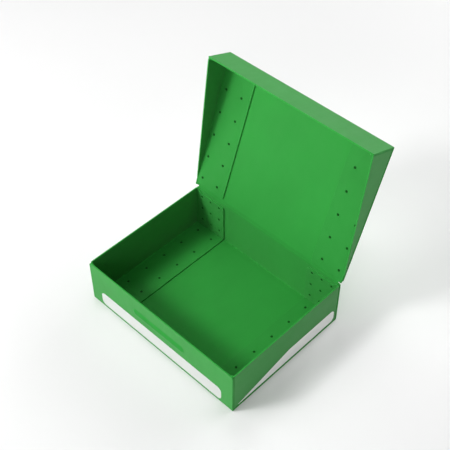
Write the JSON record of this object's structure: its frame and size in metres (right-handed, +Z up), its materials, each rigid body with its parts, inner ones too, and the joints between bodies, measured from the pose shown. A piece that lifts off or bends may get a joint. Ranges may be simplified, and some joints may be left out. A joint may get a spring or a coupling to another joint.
{
  "type": "board game box",
  "caption": "Shallow rectangular game box folded and spot-welded from green plastic sheet, with a deep-fronted lid on a living hinge along the back wall.",
  "frame": {"origin": "centre of the base's flat underside, so the box stands on Z = 0", "axes": "+X to the right along the front wall, -Y out of the front wall, +Z up; the lid turns about the X direction along the back wall's top"},
  "size_m": [0.3056, 0.3118, 0.3233],
  "materials": {
    "main_sheet": "satin, fine extruded-sheet grain",
    "side_sheet": "satin, fine extruded-sheet grain",
    "weld": "remelted, slightly glossy",
    "label": "matt white, blank"
  },
  "bodies": {
    "base": {"base_sheet": "main_sheet", "left_base_side": "side_sheet", "right_base_side": "side_sheet", "living_hinge": "main_sheet", "front_label": "label", "left_side_label": "label", "right_side_label": "label", "left_floor_welds": "weld", "right_floor_welds": "weld", "left_back_welds": "weld", "right_back_welds": "weld", "left_front_welds": "weld", "right_front_welds": "weld"},
    "lid": {"lid_sheet": "main_sheet", "left_lid_side": "side_sheet", "right_lid_side": "side_sheet", "left_lid_welds": "weld", "right_lid_welds": "weld", "left_lid_front_welds": "weld", "right_lid_front_welds": "weld"}
  },
  "joints": [
    {"name": "lid_hinge", "type": "hinge", "parent": "base", "child": "lid", "pos_m": [0, 0.1145, 0.0858], "axis": [-1, 0, 0], "range_deg": [-110, 90]}
  ]
}
